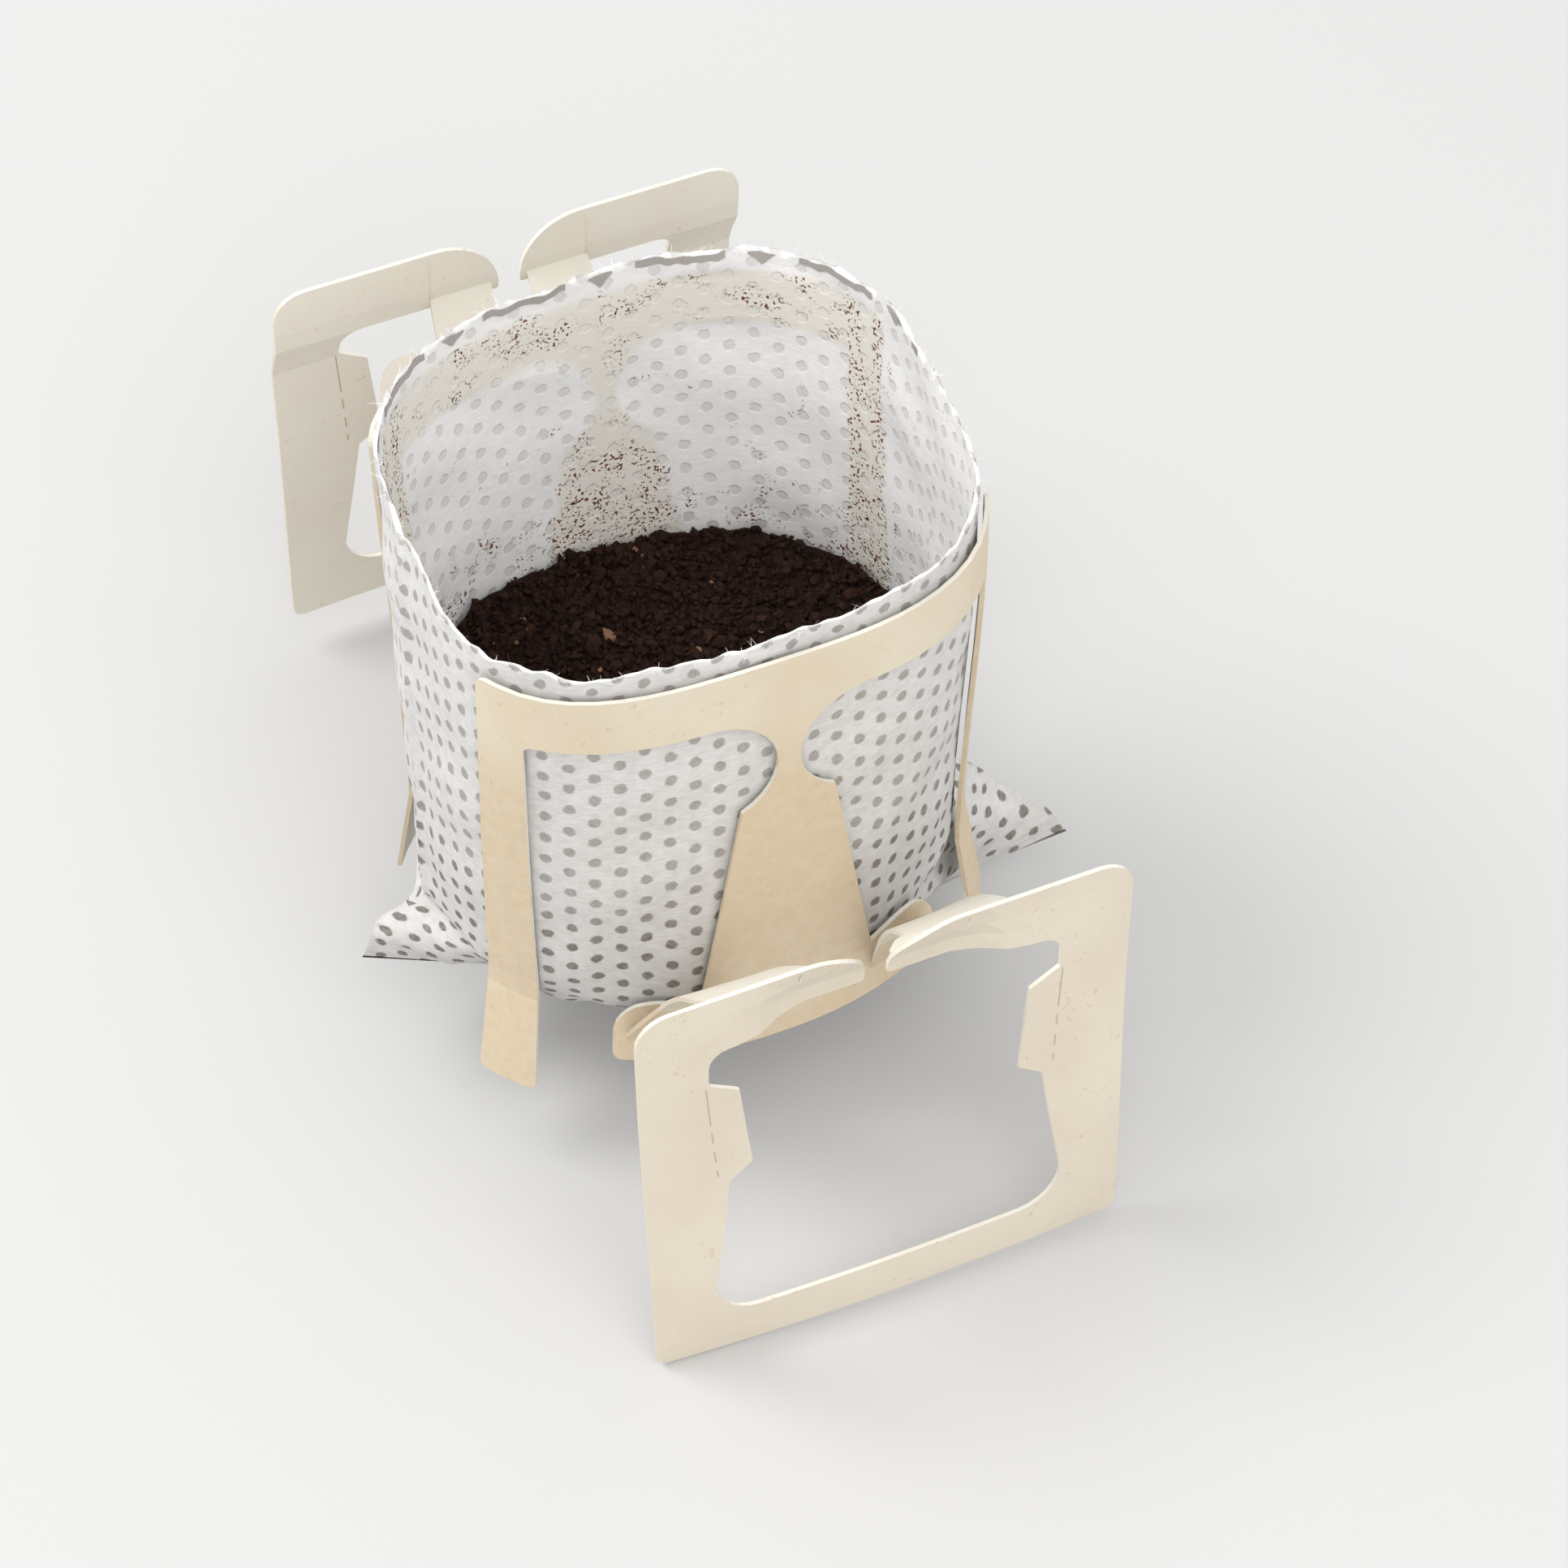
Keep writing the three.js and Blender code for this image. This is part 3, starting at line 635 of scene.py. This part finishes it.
def make_marks(name, side):
    """The mark lines as thin quads just off both faces of the card."""
    verts, faces, marks = [], [], []
    for ((x0, h0), (x1, h1)), half, material in mark_lines():
        length = math.hypot(x1 - x0, h1 - h0)
        nx, nh = -(h1 - h0) / length * half, (x1 - x0) / length * half
        parts = max(1, int(length / 1.5))
        for off in (FACE_OFF, -FACE_OFF):
            for i in range(parts):
                base = len(verts)
                for t in (i / parts, (i + 1) / parts):
                    x, h = x0 + (x1 - x0) * t, h0 + (h1 - h0) * t
                    verts.append(hook_point(side, x - nx, h - nh, off))
                    verts.append(hook_point(side, x + nx, h + nh, off))
                faces.append((base, base + 1, base + 3, base + 2))
                marks.append(CARD_MATERIALS.index(material))
    obj = make_object(name, verts, faces, CARD_MATERIALS, smooth_shading=False)
    obj.data.polygons.foreach_set("material_index", marks)
    return obj


def narrow_faces(mesh):
    """Faces of the card's cut edge: smooth groups of faces with little area for their border."""
    normals = np.array([p.normal for p in mesh.polygons])
    sides = {}
    for p in mesh.polygons:
        for key in p.edge_keys:
            sides.setdefault(key, []).append(p.index)
    shared = {key: pair for key, pair in sides.items() if len(pair) == 2}
    parent = list(range(len(mesh.polygons)))

    def root(i):
        while parent[i] != i:
            parent[i] = parent[parent[i]]
            i = parent[i]
        return i

    for one, other in shared.values():
        if normals[one] @ normals[other] > 0.8:
            parent[root(one)] = root(other)
    groups = [root(i) for i in range(len(mesh.polygons))]
    area = dict.fromkeys(groups, 0)
    border = dict.fromkeys(groups, 1e-6)
    for p in mesh.polygons:
        area[groups[p.index]] += p.area * 1e6
    points = np.array([v.co for v in mesh.vertices]) * 1000
    for key, pair in shared.items():
        if groups[pair[0]] != groups[pair[1]]:
            for q in pair:
                border[groups[q]] += np.linalg.norm(points[key[0]] - points[key[1]])
    return [area[g] / border[g] < 0.5 for g in groups]


def make_holder(node, side):
    """The solid's own shape in card: kraft outside, paler inside, and bright cut edges."""
    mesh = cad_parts[node].data.copy()
    mesh.name = node + "_card"
    mesh.materials.clear()
    for m in CARD_MATERIALS:
        mesh.materials.append(m)
    for p, narrow in zip(mesh.polygons, narrow_faces(mesh)):
        c, n = p.center, p.normal
        facing = (n.x * c.x + n.y * c.y) / math.hypot(c.x, c.y) - 0.4 * n.z
        if narrow:
            material = EDGE
        elif facing <= 0:
            material = PALE
        else:
            # Faces of the glued panel take the kraft with painted shade and warm bounce light.
            material = GLUED_SHADED if abs(c.y) < GLUED_REACH else KRAFT
        p.material_index = CARD_MATERIALS.index(material)
        p.use_smooth = True
    mesh.set_sharp_from_angle(angle=math.radians(38))
    obj = bpy.data.objects.new(node + "_card", mesh)
    scene.collection.objects.link(obj)
    marks = make_marks(node + "_marks", side)
    joined = {"object": obj, "active_object": obj, "selected_editable_objects": [obj, marks]}
    with bpy.context.temp_override(**joined):
        bpy.ops.object.join()
    return obj


def make_print(inner_rows):
    """The plain grey tear line on the back of the mouth: dashes with small blobs between."""
    torn = inner_rows[0]
    centre = torn.mean(0)
    run = run_along(torn)
    middle = run[HALF_AROUND + HALF_AROUND // 2] - PANEL_SHIFT

    def spot(r, level):
        k = min(int(level / LEVEL_STEP), len(inner_rows) - 2)
        share = level / LEVEL_STEP - k
        row = inner_rows[k] * (1 - share) + inner_rows[k + 1] * share
        p = np.array([np.interp(r, run, row[:, i]) for i in range(3)])
        inward = centre - p
        inward[2] = 0
        return p + inward / np.linalg.norm(inward) * 0.09

    verts, faces = [], []
    places = np.arange(run[HALF_AROUND] + 4, run[-1] - 4, 0.15)
    ragged = 0.1 * waves(41, places, 0, (0.5, 1.6))
    for i in range(len(places) - 1):
        t = (places[i] - middle + TEAR_BLOB) % TEAR_PERIOD
        off_blob = abs(t - TEAR_BLOB) / TEAR_BLOB_HALF
        if t < TEAR_DASH:
            top, bottom = 0.1, 0.95
        elif off_blob < 1:
            top, bottom = 0.3, 0.5 + 1.2 * (1 - off_blob)
        else:
            continue
        base = len(verts)
        for j in (i, i + 1):
            verts += [spot(places[j], top), spot(places[j], bottom + ragged[j])]
        faces.append((base, base + 1, base + 3, base + 2))
    return make_object("tear_line", verts, faces, [PRINT])


bag, torn_edge, inner_rows = make_bag()
fibres = make_fibres(torn_edge)
coffee = make_coffee()
front = make_holder("front_holder", -1)
back = make_holder("back_holder", 1)
tear = make_print(inner_rows)
for piece, node, name in (
        (bag, "filter_bag", "nonwoven"), (coffee, "coffee_grounds", "coffee"),
        (front, "front_holder", "kraft_card"), (back, "back_holder", "kraft_card")):
    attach(piece, "root")
    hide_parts(node)
for piece in (tear, fibres):
    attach(piece, "root")

# Camera, floor and light
AZIMUTH, ELEVATION = math.radians(-23.3), math.radians(48.9)
SENSOR_MM = 36
PHOTO_PIXELS, FOCAL_PIXELS = 1932, 8500
DISTANCE, ASIDE, BELOW = 0.696, 0.01109, 0.01494  # metres from the frame's origin to the camera
right = Vector((math.cos(AZIMUTH), math.sin(AZIMUTH), 0))
behind = Vector((
    math.sin(AZIMUTH) * math.cos(ELEVATION),
    -math.cos(AZIMUTH) * math.cos(ELEVATION),
    math.sin(ELEVATION)))
upward = behind.cross(right)
cam_data = bpy.data.cameras.new("camera")
cam_data.sensor_width = SENSOR_MM
cam_data.lens = FOCAL_PIXELS / PHOTO_PIXELS * SENSOR_MM
cam_data.clip_start, cam_data.clip_end = 0.01, 20
cam = bpy.data.objects.new("camera", cam_data)
place = behind * DISTANCE + right * ASIDE - upward * BELOW
cam.matrix_world = Matrix((
    (right.x, upward.x, behind.x, place.x),
    (right.y, upward.y, behind.y, place.y),
    (right.z, upward.z, behind.z, place.z),
    (0, 0, 0, 1)))
scene.collection.objects.link(cam)
scene.camera = cam
scene.view_settings.view_transform = "Standard"

FLOOR_HALF = 30.0
FLOOR_GAP = 0.0003
floor_mesh = bpy.data.meshes.new("floor")
corners = [(x * FLOOR_HALF, y * FLOOR_HALF, 0) for x, y in ((-1, -1), (1, -1), (1, 1), (-1, 1))]
floor_mesh.from_pydata(corners, [], [(0, 1, 2, 3)])
floor_mesh.materials.append(plain_material("floor", (0.56, 0.56, 0.56, 1), 0.9))
floor = bpy.data.objects.new("floor", floor_mesh)
floor.location.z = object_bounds()[0].z - FLOOR_GAP
scene.collection.objects.link(floor)

world = bpy.data.worlds.new("world")
scene.world = world
world.use_nodes = True
sky = world.node_tree.nodes["Background"]
sky.inputs["Color"].default_value = (1, 1, 1, 1)
sky.inputs["Strength"].default_value = 1.02


def area_light(name, place, size, power, colour):
    """A round lamp that points at the frame's origin."""
    data = bpy.data.lights.new(name, "AREA")
    data.shape = "DISK"
    data.size = size
    data.energy = power
    data.color = colour
    lamp = bpy.data.objects.new(name, data)
    lamp.location = place
    lamp.rotation_mode = "QUATERNION"
    lamp.rotation_quaternion = (-Vector(place)).to_track_quat("-Z", "Y")
    scene.collection.objects.link(lamp)


area_light("key", (-0.45, 0.25, 0.75), 0.5, 4.0, (1, 0.99, 0.97))
area_light("fill", (-0.05, -0.62, 0.72), 0.7, 2.9, (1, 0.985, 0.96))
